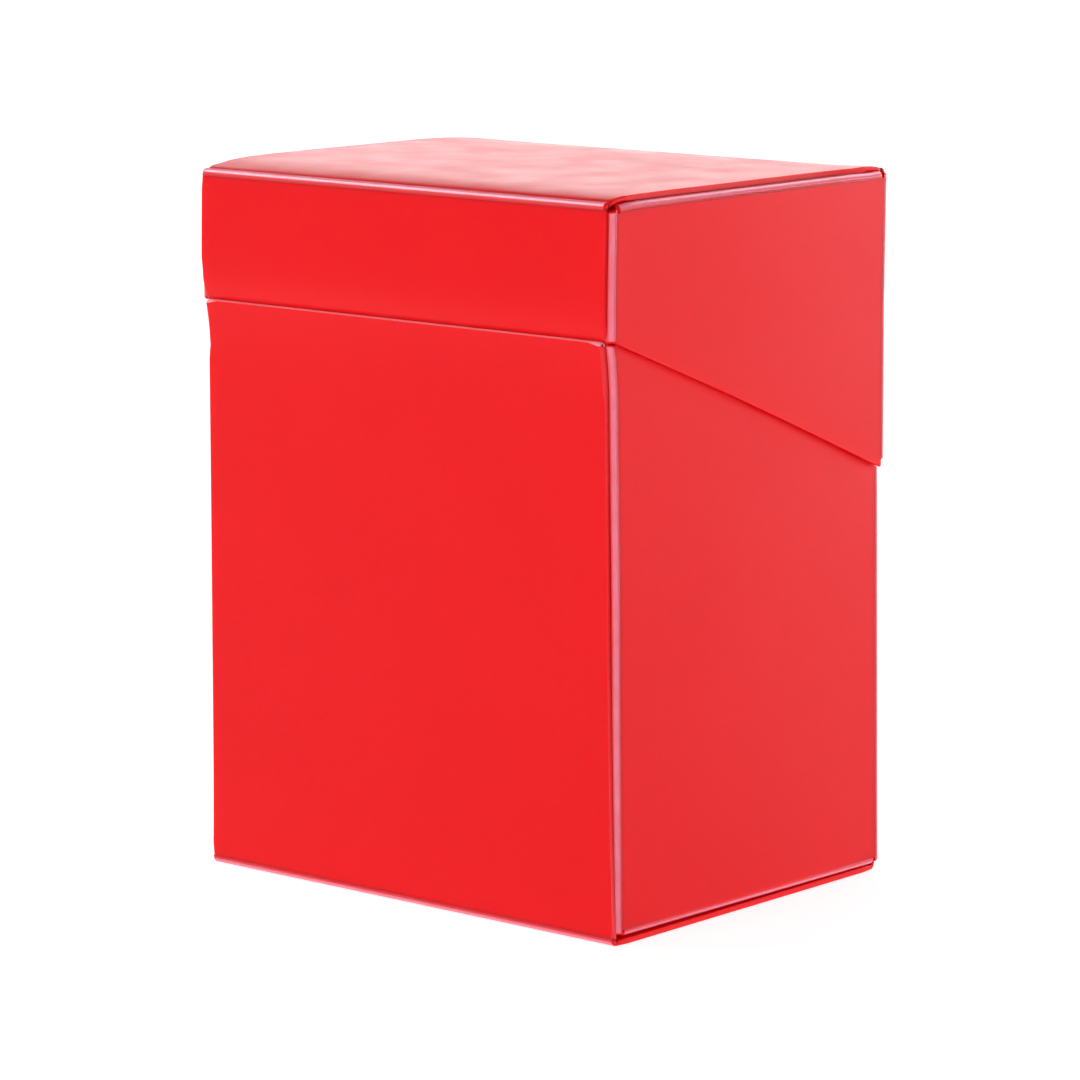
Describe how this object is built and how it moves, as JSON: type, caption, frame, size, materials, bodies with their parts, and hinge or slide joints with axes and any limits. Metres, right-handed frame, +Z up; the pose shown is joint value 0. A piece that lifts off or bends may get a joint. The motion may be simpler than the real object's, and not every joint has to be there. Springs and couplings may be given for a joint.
{
  "type": "card deck box",
  "caption": "Flip-top box for a deck of trading cards, folded from red satin polypropylene sheet; the lid turns on a living hinge across the back and its flap tucks in behind the front panel.",
  "frame": {"origin": "centre of the closed box's footprint, on the face that rests on the table", "axes": "+Z up towards the lid, -Y towards the front panel and the lid's flap, +X towards the right side wall as seen from the front"},
  "size_m": [0.0738, 0.0558, 0.095],
  "materials": {
    "panels": "satin, extruded polypropylene sheet",
    "folds": "creased and slightly polished polypropylene",
    "flanges": "satin, inner face of the sheet",
    "hinge_web": "thinned, slightly stress-lightened"
  },
  "bodies": {
    "body": {"front_panel": "panels", "front_bottom_fold": "folds", "bottom_panel": "panels", "back_bottom_fold": "folds", "back_panel": "panels", "left_back_fold": "folds", "right_back_fold": "folds", "left_side_wall": "panels", "right_side_wall": "panels", "left_front_fold": "folds", "right_front_fold": "folds", "left_front_flange": "flanges", "right_front_flange": "flanges", "left_bottom_fold": "folds", "right_bottom_fold": "folds", "left_bottom_flange": "flanges", "right_bottom_flange": "flanges", "living_hinge": "hinge_web"},
    "lid": {"lid_back_panel": "panels", "lid_rear_top_fold": "folds", "lid_top_panel": "panels", "lid_front_top_fold": "folds", "lid_front_flap": "panels", "lid_tuck_lip": "panels", "left_lid_back_fold": "folds", "right_lid_back_fold": "folds", "left_lid_side": "panels", "right_lid_side": "panels", "left_lid_front_fold": "folds", "right_lid_front_fold": "folds", "left_lid_front_flange": "flanges", "right_lid_front_flange": "flanges", "left_lid_top_fold": "folds", "right_lid_top_fold": "folds", "left_lid_top_flange": "flanges", "right_lid_top_flange": "flanges"}
  },
  "joints": [
    {"name": "lid_hinge", "type": "hinge", "parent": "body", "child": "lid", "pos_m": [0, 0.02797, 0.0558], "axis": [-1, 0, 0], "range_deg": [0, 175], "deforming": ["living_hinge"]}
  ]
}
